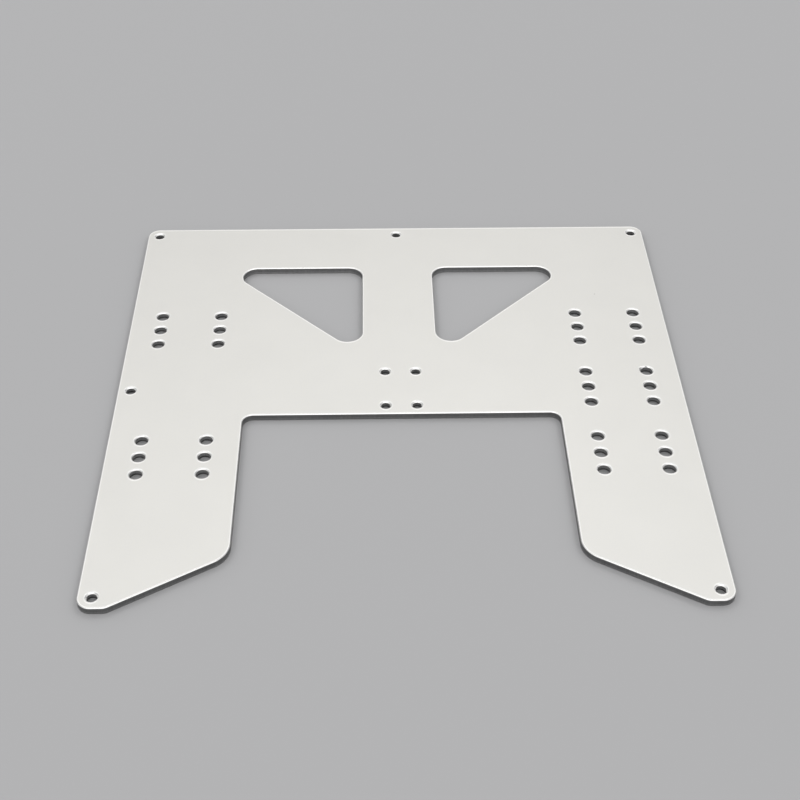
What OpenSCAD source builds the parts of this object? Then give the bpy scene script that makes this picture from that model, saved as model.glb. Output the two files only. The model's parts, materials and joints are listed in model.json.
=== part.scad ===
// A flat square plate, cut from sheet metal, that carries the bed of a small gantry machine along one axis.
// The plate lies flat with its middle over the origin. X runs across it, Y runs away from its open side,
// and Z is up with the underside at zero. All sizes are in millimetres.

/* [Plate] */
// Overall width along X
plate_width = 219; // [206:1:240]
// Overall depth along Y
plate_depth = 219; // [210:1:240]
// Thickness of the sheet
plate_thickness = 3; // [2:0.5:6]
// Radius of the four outer corners
corner_radius = 5; // [3:0.5:6]
// Width of the small bevel along the outline and the cut-outs, on both faces
edge_bevel = 0.3; // [0.1:0.1:0.5]

/* [Holes] */
// Width of the bevel around every hole, on both faces
hole_bevel = 0.6; // [0.2:0.1:0.8]
// Bore of the holes for the bed screws and for the belt clamp
small_bore = 3.4; // [3.2:0.1:3.8]
// Bore of the holes for the bearing blocks
block_bore = 4.5; // [4.2:0.1:5]

/* [Bed screws] */
// Distance from the bed screws to the edges of the plate
bed_screw_margin = 5; // [4:0.5:6]

/* [Bearing blocks] */
// Distance from the outer screw column of a block to the side of the plate
outer_margin = 12.5; // [11:0.5:14]
// Distance from the inner screw column of a block to the notch
inner_margin = 12.7; // [8:0.1:14]
// Distance along X between the two screw columns of a block
block_pitch_x = 24; // [20:1:26]
// Distance along Y between the near and far screw rows of a block
block_pitch_y = 18; // [16:1:20]
// Distance along Y between the middles of the near and far blocks
block_spacing = 75; // [66:1:80]

/* [Belt clamp] */
// Distance along X between the clamp screws
clamp_pitch_x = 12; // [8:0.5:20]
// Distance along Y between the clamp screws
clamp_pitch_y = 20; // [12:0.5:20]

/* [Triangular windows] */
// Width of the bar left standing between the two windows
web_width = 30; // [24:1:34]
// Width of the bar left standing between the windows and the far edge of the plate
far_rim = 30; // [24:1:36]
// Length of the two square sides of a window, measured to its sharp corners
window_leg = 59; // [45:1:60]
// Radius of the corners of a window
window_radius = 6; // [3:0.5:8]

/* [Notch and legs] */
// Distance from the middle of the plate to the closed side of the notch
notch_start = 15; // [14:1:30]
// Radius of the two closed corners of the notch
notch_radius = 4; // [2:0.5:8]
// Width of the foot of a leg, measured to its sharp corner
foot_width = 9.8; // [9:0.2:14]
// Slope of the slanted side between the foot and the straight inner side of a leg, in degrees
slant_angle = 30; // [20:1:40]
// Radius where the slanted side of a leg turns into the foot
foot_radius = 5; // [2:0.5:6]
// Radius where the slanted side of a leg turns into the straight inner side
leg_radius = 10; // [4:0.5:14]

/* [Hidden] */
// Names of the pieces, one for each piece below
// The piece that is drawn
// Number of steps around a full circle
$fn = 72;
// How far the cutting shapes stand clear of the plate
clear = 0.5;
// How far an arc reaches past the flats beside it, so that it crosses them instead of only touching
blend = 0.001;
// Half sizes of the plate
half_width = plate_width / 2;
half_depth = plate_depth / 2;
// Middles of the bearing blocks
block_x = half_width - outer_margin - block_pitch_x / 2;
block_y = block_spacing / 2;
blocks = [
    [-block_x, -block_y],
    [-block_x, block_y],
    [block_x, -block_y],
    [block_x, 0],
    [block_x, block_y]
];
// Positions of the bed screws: four corners, the middle of the far edge and the middle of the left edge
bed_screw_x = half_width - bed_screw_margin;
bed_screw_y = half_depth - bed_screw_margin;
bed_screws = [
    [-bed_screw_x, -bed_screw_y],
    [bed_screw_x, -bed_screw_y],
    [bed_screw_x, bed_screw_y],
    [-bed_screw_x, bed_screw_y],
    [0, bed_screw_y],
    [-bed_screw_x, 0]
];
// Positions of the sides of the right-hand window
window_in = web_width / 2;
window_out = window_in + window_leg;
window_far = half_depth - far_rim;
window_near = window_far - window_leg;
// Positions of the sides of the notch and of the right-hand leg
notch_side = block_x - block_pitch_x / 2 - inner_margin;
notch_far = -notch_start;
foot_start = half_width - foot_width;
leg_end = -half_depth + (foot_start - notch_side) * tan(slant_angle);

// Corners of the outline, in turn with the plate on the left.
// Each has its sharp point, its radius, and whether it is an inner corner of the plate.
outline = [
    [[-half_width, -half_depth], corner_radius, false],
    [[-foot_start, -half_depth], foot_radius, false],
    [[-notch_side, leg_end], leg_radius, false],
    [[-notch_side, notch_far], notch_radius, true],
    [[notch_side, notch_far], notch_radius, true],
    [[notch_side, leg_end], leg_radius, false],
    [[foot_start, -half_depth], foot_radius, false],
    [[half_width, -half_depth], corner_radius, false],
    [[half_width, half_depth], corner_radius, false],
    [[-half_width, half_depth], corner_radius, false]
];
// Corners of the right-hand window, in the same form, and of the left-hand window, its mirror image
right_window = [
    [[window_in, window_near], window_radius, true],
    [[window_in, window_far], window_radius, true],
    [[window_out, window_far], window_radius, true]
];
left_window = mirrored(right_window);

// The mirror image of a path across the Y axis, still with the plate on its left
function mirrored(path) =
    [for (i = [len(path) - 1 : -1 : 0]) [[-path[i][0].x, path[i][0].y], path[i][1], path[i][2]]];
// What corner i of a closed path holds, counted round and round
function corner(path, i) = path[(i + len(path)) % len(path)];
function point(path, i) = corner(path, i)[0];
function radius(path, i) = corner(path, i)[1];
function is_inner(path, i) = corner(path, i)[2];
// Direction from point a to point b, as a unit vector
function direction(a, b) = (b - a) / norm(b - a);
// Directions from corner i to the corner before it and to the corner after it
function way_back(path, i) = direction(point(path, i), point(path, i - 1));
function way_on(path, i) = direction(point(path, i), point(path, i + 1));
// Half of the angle inside corner i
function half_angle(path, i) = acos(way_back(path, i) * way_on(path, i)) / 2;
// Points where the arc of corner i meets the side before it and the side after it
function arc_start(path, i) = point(path, i) + way_back(path, i) * radius(path, i) / tan(half_angle(path, i));
function arc_end(path, i) = point(path, i) + way_on(path, i) * radius(path, i) / tan(half_angle(path, i));
// Middle of the arc of corner i
function arc_middle(path, i) =
    let (inwards = direction([0, 0], way_back(path, i) + way_on(path, i)))
    point(path, i) + inwards * radius(path, i) / sin(half_angle(path, i));
// Unit vector square to the side after corner i, towards the open space on its right
function outward(path, i) = [way_on(path, i).y, -way_on(path, i).x];
// Points of corner i of a blank that stands clear of every side: an inner corner is cut straight across
function blank_corner(path, i) =
    let (before = outward(path, i - 1), after = outward(path, i))
    is_inner(path, i)
        ? [arc_start(path, i) + before * clear, arc_end(path, i) + after * clear]
        : [point(path, i) + (before + after) * clear / (1 + before * after)];
// All points of the blank of a path
function blank(path) = [for (i = [0 : len(path) - 1]) each blank_corner(path, i)];

// A hole through the plate at a point, with radius r and a bevel of width w on both faces
module bevelled_hole(at, r, w) {
    reach = w + clear;
    profile = [
        [0, -clear],
        [r + reach, -clear],
        [r, w],
        [r, plate_thickness - w],
        [r + reach, plate_thickness + clear],
        [0, plate_thickness + clear]
    ];
    translate([at.x, at.y, 0])
        rotate_extrude()
            polygon(profile);
}

// A disc with radius r that narrows towards both faces at the slope of the edge bevel
module bevelled_disc(at, r) {
    reach = edge_bevel + 2 * clear;
    profile = [
        [0, -2 * clear],
        [r - reach, -2 * clear],
        [r, edge_bevel],
        [r, plate_thickness - edge_bevel],
        [r - reach, plate_thickness + 2 * clear],
        [0, plate_thickness + 2 * clear]
    ];
    translate([at.x, at.y, 0])
        rotate_extrude()
            polygon(profile);
}

// A shape through the whole plate with the given outline
module through(points) {
    translate([0, 0, -clear])
        linear_extrude(plate_thickness + 2 * clear)
            polygon(points);
}

// The space beside a straight side from a to b, on the right of the way, with the bevels of its two edges
module straight_side(a, b) {
    way = b - a;
    profile = [
        [0, edge_bevel],
        [0, plate_thickness - edge_bevel],
        [-edge_bevel - clear, plate_thickness + clear],
        [2 * clear, plate_thickness + clear],
        [2 * clear, -clear],
        [-edge_bevel - clear, -clear]
    ];
    translate([b.x, b.y, 0])
        rotate([0, 0, atan2(way.y, way.x) - 90])
            rotate([90, 0, 0])
                linear_extrude(norm(way))
                    polygon(profile);
}

// The side of a path after corner i: as far as the arc of an inner corner, and past an outer one
module path_side(path, i) {
    past = way_on(path, i) * clear;
    from = is_inner(path, i) ? arc_end(path, i) : point(path, i) - past;
    to = is_inner(path, i + 1) ? arc_start(path, i + 1) : point(path, i + 1) + past;
    straight_side(from, to);
}

// The space outside the arc of an outer corner, with the bevels of the arc
module outer_corner(path, i) {
    middle = arc_middle(path, i);
    kite = [
        middle,
        2 * arc_start(path, i) - middle,
        2 * point(path, i) - middle,
        2 * arc_end(path, i) - middle
    ];
    difference() {
        through(kite);
        bevelled_disc(middle, radius(path, i) + blend);
    }
}

// The space inside the arc of an inner corner, with the bevels of the arc
module inner_corner(path, i) {
    bevelled_hole(arc_middle(path, i), radius(path, i) + blend, edge_bevel);
}

// Everything that is cut away along a path: its straight sides and its rounded corners
module path_cuts(path) {
    for (i = [0 : len(path) - 1]) {
        path_side(path, i);
        if (is_inner(path, i))
            inner_corner(path, i);
        else
            outer_corner(path, i);
    }
}

// The two screw columns of three rows for each bearing block
module block_holes() {
    for (at = blocks, side = [-1, 1], row = [-1, 0, 1]) {
        offset_x = side * block_pitch_x / 2;
        offset_y = row * block_pitch_y / 2;
        bevelled_hole(at + [offset_x, offset_y], block_bore / 2, hole_bevel);
    }
}

// The six holes for the screws that hold the bed
module bed_screw_holes() {
    for (at = bed_screws)
        bevelled_hole(at, small_bore / 2, hole_bevel);
}

// The four holes for the belt clamp in the middle of the plate
module clamp_holes() {
    for (x = [-1, 1], y = [-1, 1]) {
        at = [x * clamp_pitch_x / 2, y * clamp_pitch_y / 2];
        bevelled_hole(at, small_bore / 2, hole_bevel);
    }
}

// The whole plate
module carriage_plate() {
    color([0.86, 0.85, 0.83])
        difference() {
            linear_extrude(plate_thickness)
                polygon(blank(outline));
            path_cuts(outline);
            through(blank(right_window));
            path_cuts(right_window);
            through(blank(left_window));
            path_cuts(left_window);
            block_holes();
            bed_screw_holes();
            clamp_holes();
        }
}

carriage_plate();
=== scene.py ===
import json
import math
from collections import namedtuple

import bmesh
import bpy
import numpy as np
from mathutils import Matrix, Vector


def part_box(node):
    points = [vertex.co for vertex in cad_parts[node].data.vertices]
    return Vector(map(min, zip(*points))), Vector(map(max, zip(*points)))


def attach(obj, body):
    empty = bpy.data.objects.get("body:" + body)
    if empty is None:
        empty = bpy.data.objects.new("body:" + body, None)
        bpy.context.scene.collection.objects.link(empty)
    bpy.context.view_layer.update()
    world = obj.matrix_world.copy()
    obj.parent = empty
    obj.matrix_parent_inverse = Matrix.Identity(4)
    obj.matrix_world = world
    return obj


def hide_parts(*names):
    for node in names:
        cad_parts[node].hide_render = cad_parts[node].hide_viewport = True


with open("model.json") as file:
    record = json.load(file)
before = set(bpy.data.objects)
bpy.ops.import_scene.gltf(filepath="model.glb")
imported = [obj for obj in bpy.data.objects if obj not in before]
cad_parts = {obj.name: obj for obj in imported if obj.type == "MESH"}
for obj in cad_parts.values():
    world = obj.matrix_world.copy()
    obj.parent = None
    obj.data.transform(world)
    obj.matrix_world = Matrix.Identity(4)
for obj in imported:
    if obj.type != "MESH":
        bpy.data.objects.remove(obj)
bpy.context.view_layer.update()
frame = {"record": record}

NODE = "carriage_plate"
MM = 0.001
PLATE_LOW, PLATE_HIGH = (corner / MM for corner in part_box(NODE))
PLATE_SIZE = PLATE_HIGH - PLATE_LOW

# The outline and the cut-outs, with the slant of the legs in degrees
CORNER_RADIUS = 5.0
FOOT_WIDTH = 9.8
FOOT_RADIUS = 5.0
SLANT_ANGLE = 30.0
LEG_RADIUS = 10.0
NOTCH_SIDE = 60.3
NOTCH_FAR = -15.0
NOTCH_RADIUS = 4.0
WEB_WIDTH = 30.0
FAR_RIM = 30.0
WINDOW_LEG = 59.0
WINDOW_RADIUS = 6.0

# The bevels: their slope in degrees, their widths, and how round their upper and their lower corners are
BEVEL_SLOPE = 45.0
EDGE_BEVEL = 0.3
EDGE_LOWER_BEVEL = 0.18
EDGE_ROUNDINGS = (0.14, 0.14)
BLOCK_BEVEL = 0.5
BLOCK_ROUNDINGS = (0.35, 0.6)
SCREW_BEVEL = 0.6
SCREW_ROUNDINGS = (0.3, 0.3)
# Holes with a smaller radius than this are those of the bed screws and of the belt clamp
SCREW_RADIUS = 2.0

# The rim on the face beside every bevel, which carries a painted highlight: its width along the outline and
# round a hole, what is added to it where the edge looks to the far side to widen the painted highlight
# there, and the part of it over which it fades out
EDGE_RIM = 0.36
HOLE_RIM = 0.32
RIM_GAIN = 0.45
RIM_FADE = 0.1
# The share of the painted highlight that is missing at the left and at the right of a hole, as painted
# shade there
SIDE_FADE = 0.75

# How finely curves are cut up: degrees in a step of an arc, steps round a hole and round a bevel's corner
ARC_STEP = 3.0
HOLE_STEPS = 60
ROUNDING_STEPS = 4

# The badly cut hole: its middle, and the depth below the face from which its bevel is fully torn
RAGGED_HOLE = (97.0, 9.0)
TORN_DEPTH = 0.25
# Its bumps, each with the angle round the hole and the width in degrees, and the height. The first ones
# widen or narrow the bevel, the next push its lower corner into the hole, and the last say how torn it is.
BEVEL_BUMPS = ((148, 24, 0.3), (88, 11, -0.2))
LIP_BUMPS = ((128, 12, 0.12), (88, 7, 0.3), (158, 8, 0.2))
TORN_BUMPS = ((145, 34, 1.0), (86, 13, 1.0))

# The one dark speck on the upper face
SPECK = (82.75, 59.2)
SPECK_RADIUS = 0.26

# The colours of the plate and of the floor
FACE_TONES = ((0.804, 0.795, 0.763, 1), (0.844, 0.834, 0.8, 1))
GRAIN_TONE = (0.62, 0.61, 0.59, 1)
# The colour of the painted highlight along every edge
PAINTED_HIGHLIGHT_TONE = (0.99, 0.98, 0.955, 1)
SPECK_TONE = (0.3, 0.3, 0.3, 1)
BEVEL_TONES = ((0.89, 0.89, 0.875, 1), (0.95, 0.95, 0.935, 1))
TORN_TONE = (0.36, 0.36, 0.36, 1)
CUTTER_TONE = (0.05, 0.05, 0.05, 1)
WALL_CLOUD_TONE = (0.5, 0.5, 0.5, 1)
FLOOR_TONE = (0.47, 0.47, 0.477, 1)
# The three kinds of wall, each with the grey of its upper and of its lower part. The walls are darker than
# the faces partly by their own tone and partly by painted shade. The two parts and the three kinds differ
# by painted light and shade, and the bore's dark lower part is painted shade inside the hole
WALL_GREYS = {"milled_wall": (0.22, 0.32), "window_wall": (0.26, 0.4), "drilled_bore": (0.5, 0.1)}
# The heights between which a wall's painted shading turns from its lower grey into its upper one
WALL_SHADE_HEIGHTS = (0.9, 1.4)

# The camera: its place, its turn about X, Y and Z in degrees, its lens and sensor, and its range in metres
CAMERA_PLACE = (-10.557, -411.788, 356.572)
CAMERA_TURN = (48.851, -0.258, -1.194)
CAMERA_LENS = 62.976
SENSOR_WIDTH = 36.0
CAMERA_RANGE = (0.01, 20.0)

# The dome of light: how bright it is at each height, where -1 is the bottom, 0 the horizon and 1 the top
DOME_STOPS = (
    (-1.0, 0.7),
    (0.0, 0.34),
    (0.03, 0.33),
    (0.05, 0.1),
    (0.1, 0.15),
    (0.2, 0.46),
    (0.5, 0.57),
    (0.7, 0.83),
    (0.84, 1.14),
    (0.9, 0.4),
    (1.0, 0.2),
)
# Its strength on the far side, how many times as strong it is on the near side, and the Y where it changes
DOME_STRENGTH = 1.187
DOME_NEAR_SIDE = 1.41
DOME_NEAR_TURN = (0.7, 0.2)
# The share of its strength that is left at both flanks, and the X over which the rest fades
DOME_FLANKS = 0.7
DOME_FLANK_TURN = (0.5, 0.75)

# The soft boxes, aimed at the plate: place, width and height, all in metres, and power in watts
SOFT_BOXES = {
    "far_box": ((0.12, 1.3, 1.3), (0.8, 0.8), 0.45),
    "left_box": ((-1.1, 1.45, 0.6), (0.8, 0.6), 0.6),
}

# The floor: its width in metres, its height above zero in millimetres, and its roughness
FLOOR_SIZE = 40.0
FLOOR_LIFT = 0.02
FLOOR_ROUGHNESS = 0.7

# Material slots of the plate, and the slope in radians from which a bevel's lower corner counts as wall
FACE, BEVEL, WALL, WINDOW_WALL, BORE = range(5)
WALL_SLOPE = math.radians(60)

# The mesh layers that the materials read: lengths along and up an edge, the painted edge highlight, and the
# tear
EDGE_MAP = "edge_map"
PAINTED_HIGHLIGHT_LAYER = "rim"
TORN_LAYER = "torn"

# The points along an edge at one height, with their normals, and how steep the surface is there in radians
Ring = namedtuple("Ring", "points normals slope")


class Loop:
    """A closed edge line of the plate, walked with the plate on the left.

    For each point it holds the way outward, the width of the bevel and of the rim, the painted edge
    highlight, how far the bevel's lower corner is pushed outward, and how torn it is.
    """

    def __init__(self, points, outward, bevel, lower_bevel, roundings, rim, wall):
        self.points = np.array(points, float)
        self.outward = np.array(outward, float)
        self.bevel = np.full(len(points), bevel, float)
        self.lower_bevel = lower_bevel
        self.roundings = roundings
        # The rim is widened where the edge looks to the far side, so the painted highlight is wider there
        self.rim = rim + RIM_GAIN * np.clip(self.outward[:, 1], 0, 1) ** 2
        self.edge_highlight = np.ones(len(points))
        self.lip = np.zeros(len(points))
        self.torn = np.zeros(len(points))
        self.wall = wall
        steps = np.linalg.norm(np.roll(self.points, -1, 0) - self.points, axis=1)
        self.length = np.concatenate(([0.0], np.cumsum(steps)))


def unit(v):
    return v / np.linalg.norm(v)


def rounded_path(corners, wall):
    """The loop through sharp corners, each given as (x, y, radius), with an arc at each one."""
    points, outward = [], []
    for i, (x, y, radius) in enumerate(corners):
        here = np.array((x, y))
        back = unit(np.array(corners[i - 1][:2]) - here)
        ahead = unit(np.array(corners[(i + 1) % len(corners)][:2]) - here)
        half = math.acos(np.clip(back @ ahead, -1, 1)) / 2
        middle = here + unit(back + ahead) * radius / math.sin(half)
        turn = math.pi - 2 * half
        left = ahead[0] * back[1] - ahead[1] * back[0] > 0
        first = here + back * radius / math.tan(half) - middle
        start = math.atan2(first[1], first[0])
        steps = max(2, round(math.degrees(turn) / ARC_STEP))
        for k in range(steps + 1):
            angle = start + (turn if left else -turn) * k / steps
            ray = np.array((math.cos(angle), math.sin(angle)))
            points.append(middle + radius * ray)
            outward.append(ray if left else -ray)
    return Loop(points, outward, EDGE_BEVEL, EDGE_LOWER_BEVEL, EDGE_ROUNDINGS, EDGE_RIM, wall)


def round_hole(x, y, radius):
    """The loop round a hole, clockwise."""
    angles = -2 * math.pi * np.arange(HOLE_STEPS) / HOLE_STEPS
    rays = np.stack((np.cos(angles), np.sin(angles)), 1)
    points = np.array((x, y)) + radius * rays
    small = radius < SCREW_RADIUS
    bevel = SCREW_BEVEL if small else BLOCK_BEVEL
    roundings = SCREW_ROUNDINGS if small else BLOCK_ROUNDINGS
    hole = Loop(points, -rays, bevel, bevel, roundings, HOLE_RIM, BORE)
    # Painted shade: the painted highlight is fainter at the left and at the right of a hole
    hole.edge_highlight -= SIDE_FADE * rays[:, 0] ** 2
    if math.dist((x, y), RAGGED_HOLE) < radius:
        make_ragged(hole, angles % (2 * math.pi))
    return hole


def bumps(angles, rows):
    """The sum of smooth bumps, each given as (angle, width, height), at the given angles."""
    total = np.zeros(len(angles))
    for degrees, width, height in rows:
        away = (angles - math.radians(degrees) + math.pi) % (2 * math.pi) - math.pi
        total += height * np.exp(-(away / math.radians(width)) ** 2)
    return total


def make_ragged(hole, angles):
    """Gives a badly cut hole an uneven bevel with a torn, dull lip at its lower corner."""
    hole.bevel += bumps(angles, BEVEL_BUMPS)
    hole.lip += bumps(angles, LIP_BUMPS)
    hole.torn += bumps(angles, TORN_BUMPS)


def plate_outline():
    """The outer loop, counter-clockwise from the near left corner."""
    half_width = PLATE_SIZE.x / 2
    half_depth = PLATE_SIZE.y / 2
    foot = half_width - FOOT_WIDTH
    leg_end = -half_depth + (foot - NOTCH_SIDE) * math.tan(math.radians(SLANT_ANGLE))
    return rounded_path(
        [
            (-half_width, -half_depth, CORNER_RADIUS),
            (-foot, -half_depth, FOOT_RADIUS),
            (-NOTCH_SIDE, leg_end, LEG_RADIUS),
            (-NOTCH_SIDE, NOTCH_FAR, NOTCH_RADIUS),
            (NOTCH_SIDE, NOTCH_FAR, NOTCH_RADIUS),
            (NOTCH_SIDE, leg_end, LEG_RADIUS),
            (foot, -half_depth, FOOT_RADIUS),
            (half_width, -half_depth, CORNER_RADIUS),
            (half_width, half_depth, CORNER_RADIUS),
            (-half_width, half_depth, CORNER_RADIUS),
        ],
        WALL,
    )


def plate_windows():
    """The two triangular windows, clockwise."""
    inner = WEB_WIDTH / 2
    far = PLATE_SIZE.y / 2 - FAR_RIM
    right = [
        (inner, far - WINDOW_LEG, WINDOW_RADIUS),
        (inner, far, WINDOW_RADIUS),
        (inner + WINDOW_LEG, far, WINDOW_RADIUS),
    ]
    left = [(-x, y, radius) for x, y, radius in reversed(right)]
    return [rounded_path(corners, WINDOW_WALL) for corners in (right, left)]


def plate_holes():
    """All the round holes, at the places and with the radii that the model's own mounts give."""
    found = {}
    for mount in frame["record"]["mounts"]:
        if mount["kind"] != "bolt_pattern":
            continue
        x, y = (v / MM for v in mount["pos_m"][:2])
        dims = mount["dims"]
        across = dims.get("spacing_x_mm", 0.0) / 2
        along = dims.get("spacing_y_mm", 0.0) / 2
        for place in {(x + i * across, y + j * along) for i in (-1, 1) for j in (-1, 1)}:
            found[tuple(round(v, 3) + 0.0 for v in place)] = dims["hole_r_mm"]
    return [round_hole(x, y, radius) for (x, y), radius in sorted(found.items())]


def half_section(loop, bevel, lip):
    """How far in, how far down and how steep an edge is, from its rim over the bevel to the wall."""
    upper, lower = loop.roundings
    # A rounding of radius 1 starts this far from the sharp corner that it takes away
    reach = math.tan(math.radians(BEVEL_SLOPE / 2))
    brink = bevel + upper * reach
    section = [(brink + loop.rim, 0, 0), (brink + loop.rim - RIM_FADE, 0, 0)]
    for slope in np.radians(np.linspace(0, BEVEL_SLOPE, ROUNDING_STEPS + 1)):
        section.append((brink - upper * math.sin(slope), upper * (1 - math.cos(slope)), slope))
    for slope in np.radians(np.linspace(BEVEL_SLOPE, 90, ROUNDING_STEPS + 1)):
        inset = lower * (1 - math.sin(slope)) - lip * math.sin(slope)
        section.append((inset, bevel + lower * (reach - math.cos(slope)), slope))
    return section


def ring_at(loop, inset, height, slope, side):
    """The ring of a loop at a height, moved in from the edge. side is 1 when it faces up, -1 when down."""
    points = np.empty((len(loop.points), 3))
    points[:, :2] = loop.points - loop.outward * np.reshape(inset, (-1, 1))
    points[:, 2] = height
    normals = np.empty_like(points)
    normals[:, :2] = loop.outward * math.sin(slope)
    normals[:, 2] = side * math.cos(slope)
    return Ring(points, normals, slope)


def edge_rings(loop):
    """The rings of one edge, from the upper face to the lower one."""
    thickness = PLATE_SIZE.z
    upper = half_section(loop, loop.bevel, loop.lip)
    lower = half_section(loop, loop.lower_bevel, 0)
    rings = [ring_at(loop, inset, thickness - down, slope, 1) for inset, down, slope in upper]
    rings.append(ring_at(loop, 0, thickness / 2, math.pi / 2, 1))
    rings += [ring_at(loop, inset, down, slope, -1) for inset, down, slope in reversed(lower)]
    if loop.torn.any():
        bend_normals(rings)
    return rings


def bend_normals(rings):
    """Turns the normals of an uneven edge square to the surface through the points around them."""
    points = np.array([ring.points for ring in rings])
    along = np.roll(points, -1, 1) - np.roll(points, 1, 1)
    for k in range(1, len(rings) - 1):
        normals = rings[k].normals
        if rings[k].slope > 0:
            square = np.cross(along[k], points[k + 1] - points[k - 1])
            square /= np.linalg.norm(square, axis=1, keepdims=True)
            facing = np.sign(np.sum(square * normals, axis=1, keepdims=True))
            normals[:] = square * facing


def material_between(above, below, wall):
    """The slot for the quads between two rings with these slopes."""
    if max(above, below) == 0:
        return FACE
    return wall if min(above, below) > WALL_SLOPE else BEVEL


def mark_edge(bm, loop, row):
    """Writes the painted edge highlight and the tear into the vertices of one row."""
    rim, torn = (bm.verts.layers.float[name] for name in (PAINTED_HIGHLIGHT_LAYER, TORN_LAYER))
    for vert, edge_highlight, tear in zip(row, loop.edge_highlight, loop.torn):
        depth = (PLATE_SIZE.z - vert.co.z / MM) / TORN_DEPTH
        vert[rim] = edge_highlight
        vert[torn] = tear * min(depth, 1)


def skin_edge(bm, loop, rings):
    """Quads between the rings. Returns the vertices of the uppermost and of the lowest ring."""
    uv = bm.loops.layers.uv[EDGE_MAP]
    rows = [[bm.verts.new(point * MM) for point in ring.points] for ring in rings]
    for row in rows[1:-1]:
        mark_edge(bm, loop, row)
    for k in range(len(rows) - 1):
        above, below = rows[k], rows[k + 1]
        slot = material_between(rings[k].slope, rings[k + 1].slope, loop.wall)
        for i in range(len(above)):
            j = (i + 1) % len(above)
            face = bm.faces.new((above[i], below[i], below[j], above[j]))
            face.material_index = slot
            start, end = loop.length[i], loop.length[i + 1]
            for corner, along in zip(face.loops, (start, start, end, end)):
                corner[uv].uv = (along, corner.vert.co.z / MM)
    return rows[0], rows[-1]


def fill_face(bm, rims, up):
    """The flat face between the rims, facing up when up is 1, or down when it is -1."""
    edges = [bm.edges.get(pair) for rim in rims for pair in zip(rim, rim[1:] + rim[:1])]
    made = bmesh.ops.triangle_fill(bm, use_beauty=True, edges=edges, normal=(0, 0, up))
    for face in made["geom"]:
        if isinstance(face, bmesh.types.BMFace):
            face.material_index = FACE
            if face.normal.z * up < 0:
                face.normal_flip()


def build_plate(name):
    """The plate: rings of quads down every edge, and flat faces between them."""
    bm = bmesh.new()
    bm.loops.layers.uv.new(EDGE_MAP)
    for layer in (PAINTED_HIGHLIGHT_LAYER, TORN_LAYER):
        bm.verts.layers.float.new(layer)
    upper_rims, lower_rims, normals = [], [], []
    for loop in (plate_outline(), *plate_windows(), *plate_holes()):
        rings = edge_rings(loop)
        upper, lower = skin_edge(bm, loop, rings)
        upper_rims.append(upper)
        lower_rims.append(lower)
        normals += [normal for ring in rings for normal in ring.normals]
    fill_face(bm, upper_rims, 1)
    fill_face(bm, lower_rims, -1)
    mesh = bpy.data.meshes.new(name)
    bm.to_mesh(mesh)
    bm.free()
    mesh.polygons.foreach_set("use_smooth", [True] * len(mesh.polygons))
    mesh.normals_split_custom_set_from_vertices(normals)
    piece = bpy.data.objects.new(name, mesh)
    bpy.context.scene.collection.objects.link(piece)
    return piece


class Nodes:
    """The nodes of a material or of the world, added one by one."""

    def __init__(self, owner):
        owner.use_nodes = True
        self.owner = owner
        self.tree = owner.node_tree

    def add(self, kind, values=None, **settings):
        node = self.tree.nodes.new(kind)
        for key, value in settings.items():
            setattr(node, key, value)
        for key, value in (values or {}).items():
            self.put(node.inputs[key], value)
        return node

    def put(self, socket, value):
        if isinstance(value, bpy.types.NodeSocket):
            self.tree.links.new(value, socket)
        else:
            socket.default_value = value

    def place(self):
        """Object space in millimetres."""
        here = self.add("ShaderNodeTexCoord").outputs["Object"]
        scaled = self.add("ShaderNodeVectorMath", {0: here, "Scale": 1 / MM}, operation="SCALE")
        return scaled.outputs["Vector"]

    def edge_map(self):
        """The lengths along and up an edge, in millimetres."""
        return self.add("ShaderNodeUVMap", uv_map=EDGE_MAP).outputs["UV"]

    def layer(self, name):
        """A value that the mesh holds for each vertex."""
        return self.add("ShaderNodeAttribute", attribute_name=name).outputs["Fac"]

    def maths(self, operation, *values):
        return self.add("ShaderNodeMath", dict(enumerate(values)), operation=operation).outputs["Value"]

    def noise(self, vector, size, detail=2.0, stretch=(1.0, 1.0, 1.0)):
        """Noise whose spots are about size millimetres wide, stretched along the axes."""
        scale = tuple(1 / s for s in stretch)
        scaled = self.add("ShaderNodeMapping", {"Vector": vector, "Scale": scale}).outputs["Vector"]
        values = {"Vector": scaled, "Scale": 1 / size, "Detail": detail}
        return self.add("ShaderNodeTexNoise", values).outputs["Fac"]

    def spread(self, value, low, high, start=0.3, end=0.7):
        """value, taken from start..end to low..high."""
        values = {"Value": value, "From Min": start, "From Max": end, "To Min": low, "To Max": high}
        return self.add("ShaderNodeMapRange", values).outputs["Result"]

    def blend(self, share, first, second):
        """The colour between first and second."""
        mixed = self.add("ShaderNodeMix", {"Factor": share}, data_type="RGBA")
        self.put(mixed.inputs["A"], first)
        self.put(mixed.inputs["B"], second)
        return mixed.outputs["Result"]

    def bump(self, height, depth, under=None):
        """A bump of the given depth in millimetres."""
        node = self.add("ShaderNodeBump", {"Height": height, "Distance": depth * MM})
        if under:
            self.put(node.inputs["Normal"], under)
        return node.outputs["Normal"]

    def metal(self, colour, roughness, normal):
        """Finishes a material as bare metal, and returns it."""
        shader = self.tree.nodes["Principled BSDF"]
        looks = {"Base Color": colour, "Metallic": 1.0, "Roughness": roughness, "Normal": normal}
        for key, value in looks.items():
            self.put(shader.inputs[key], value)
        return self.owner


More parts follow.
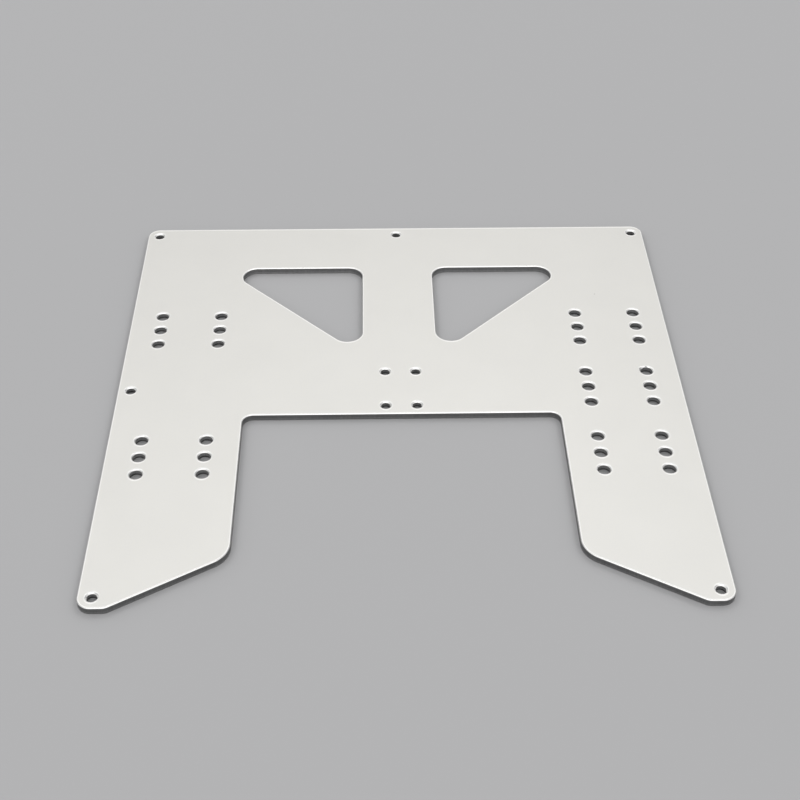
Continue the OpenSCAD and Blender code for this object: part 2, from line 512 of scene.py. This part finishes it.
def face_material():
    """Fine blasted aluminium with a clear anodised film, with a painted highlight along its edges and one
    dark speck.
    """
    nodes = Nodes(bpy.data.materials.new("blasted_face"))
    here = nodes.place()
    grain = nodes.noise(here, size=0.16, detail=3.0)
    cloud = nodes.noise(here, size=22.0, detail=3.0)
    speck_place = {0: here, 1: (*SPECK, PLATE_SIZE.z)}
    away = nodes.add("ShaderNodeVectorMath", speck_place, operation="DISTANCE").outputs["Value"]
    speck = nodes.spread(away, low=1.0, high=0.0, start=SPECK_RADIUS / 2, end=SPECK_RADIUS)
    patchy = nodes.spread(nodes.noise(here, size=1.5), low=0.8, high=1.0)
    # The painted highlight along the edges, made patchy
    edge_highlight = nodes.maths("MULTIPLY", nodes.layer(PAINTED_HIGHLIGHT_LAYER), patchy)
    colour = nodes.blend(cloud, *FACE_TONES)
    colour = nodes.blend(nodes.spread(grain, low=0.0, high=0.12), colour, GRAIN_TONE)
    colour = nodes.blend(edge_highlight, colour, PAINTED_HIGHLIGHT_TONE)
    colour = nodes.blend(speck, colour, SPECK_TONE)
    roughness = nodes.spread(grain, low=0.38, high=0.48)
    return nodes.metal(colour, roughness, nodes.bump(grain, depth=0.012))


def bevel_material():
    """Bevels cut after blasting, so brighter and smoother than the faces, with fine marks along them."""
    nodes = Nodes(bpy.data.materials.new("cut_bevel"))
    here = nodes.place()
    grain = nodes.noise(here, size=0.12)
    marks = nodes.noise(nodes.edge_map(), size=0.07, detail=1.0, stretch=(40.0, 1.0, 1.0))
    crumbled = nodes.spread(nodes.noise(here, size=0.5), low=0.7, high=1.0)
    dull = nodes.maths("MULTIPLY", nodes.layer(TORN_LAYER), crumbled)
    colour = nodes.blend(nodes.spread(marks, low=0.0, high=1.0), *BEVEL_TONES)
    colour = nodes.blend(dull, colour, TORN_TONE)
    roughness = nodes.spread(grain, low=0.22, high=0.32)
    relief = nodes.bump(marks, depth=0.004, under=nodes.bump(grain, depth=0.004))
    return nodes.metal(colour, roughness, relief)


def wall_material(name, upper, lower):
    """A milled wall: darker than the faces, partly by its own tone and partly by painted shade, painted
    lighter or darker by height, with fine upright marks.
    """
    nodes = Nodes(bpy.data.materials.new(name))
    here = nodes.place()
    height = nodes.add("ShaderNodeSeparateXYZ", {"Vector": here}).outputs["Z"]
    marks = nodes.noise(nodes.edge_map(), size=0.25, detail=3.0, stretch=(1.0, 12.0, 1.0))
    cloud = nodes.noise(here, size=9.0)
    # Painted shading by height: the wall takes its lower grey below and its upper grey above
    painted_shade_by_height = nodes.spread(height, 0.0, 1.0, *WALL_SHADE_HEIGHTS)
    colour = nodes.blend(painted_shade_by_height, (lower, lower, lower, 1), (upper, upper, upper, 1))
    colour = nodes.blend(nodes.spread(marks, low=0.0, high=0.3), colour, CUTTER_TONE)
    colour = nodes.blend(nodes.spread(cloud, low=0.0, high=0.1), colour, WALL_CLOUD_TONE)
    roughness = nodes.spread(marks, low=0.36, high=0.5)
    return nodes.metal(colour, roughness, nodes.bump(marks, depth=0.01))


def floor_material():
    """A plain pale floor."""
    material = bpy.data.materials.new("pale_floor")
    material.use_nodes = True
    shader = material.node_tree.nodes["Principled BSDF"]
    shader.inputs["Base Color"].default_value = FLOOR_TONE
    shader.inputs["Roughness"].default_value = FLOOR_ROUGHNESS
    return material


def plate_materials():
    """The materials of the plate, in the order of its slots."""
    walls = [wall_material(name, *greys) for name, greys in WALL_GREYS.items()]
    return [face_material(), bevel_material(), *walls]


def make_floor():
    """A wide floor, a hair above the plate's underside, so that the underside stays in sight from below."""
    half = FLOOR_SIZE / 2
    corners = [(-half, -half), (half, -half), (half, half), (-half, half)]
    mesh = bpy.data.meshes.new("floor")
    mesh.from_pydata([(x, y, FLOOR_LIFT * MM) for x, y in corners], [], [(0, 1, 2, 3)])
    mesh.materials.append(floor_material())
    floor = bpy.data.objects.new("floor", mesh)
    bpy.context.scene.collection.objects.link(floor)


def soft_box(name, place, size, power):
    """A soft box aimed at the plate."""
    light = bpy.data.lights.new(name, "AREA")
    light.shape = "RECTANGLE"
    light.size, light.size_y = size
    light.energy = power
    lamp = bpy.data.objects.new(name, light)
    lamp.location = place
    lamp.rotation_euler = (-Vector(place)).to_track_quat("-Z", "Y").to_euler()
    bpy.context.scene.collection.objects.link(lamp)


def make_dome():
    """A soft dome of light: dark just above the horizon, brighter higher up, below and on the near side."""
    world = bpy.data.worlds.new("studio")
    nodes = Nodes(world)
    towards = nodes.add("ShaderNodeTexCoord").outputs["Generated"]
    axes = nodes.add("ShaderNodeSeparateXYZ", {"Vector": towards}).outputs
    height = nodes.spread(axes["Z"], 0.0, 1.0, -1.0, 1.0)
    ramp = nodes.add("ShaderNodeValToRGB", {"Fac": height})
    stops = ramp.color_ramp.elements
    for place, _ in DOME_STOPS[1:-1]:
        stops.new((place + 1) / 2)
    for stop, (_, level) in zip(stops, DOME_STOPS):
        stop.color = (level, level, level, 1)
    near = nodes.spread(axes["Y"], DOME_STRENGTH, DOME_STRENGTH * DOME_NEAR_SIDE, *DOME_NEAR_TURN)
    flank = nodes.spread(nodes.maths("ABSOLUTE", axes["X"]), 1.0, DOME_FLANKS, *DOME_FLANK_TURN)
    background = nodes.tree.nodes["Background"]
    nodes.put(background.inputs["Color"], ramp.outputs["Color"])
    nodes.put(background.inputs["Strength"], nodes.maths("MULTIPLY", near, flank))
    bpy.context.scene.world = world


def make_camera():
    camera = bpy.data.objects.new("camera", bpy.data.cameras.new("camera"))
    camera.location = Vector(CAMERA_PLACE) * MM
    camera.rotation_euler = [math.radians(a) for a in CAMERA_TURN]
    camera.data.lens = CAMERA_LENS
    camera.data.sensor_width = SENSOR_WIDTH
    camera.data.clip_start, camera.data.clip_end = CAMERA_RANGE
    bpy.context.scene.collection.objects.link(camera)
    bpy.context.scene.camera = camera


make_camera()
plate = build_plate("blasted_plate")
for material in plate_materials():
    plate.data.materials.append(material)
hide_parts(NODE)
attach(plate, "root")
make_floor()
make_dome()
for name, (place, size, power) in SOFT_BOXES.items():
    soft_box(name, place, size, power)
bpy.context.scene.view_settings.view_transform = "Standard"
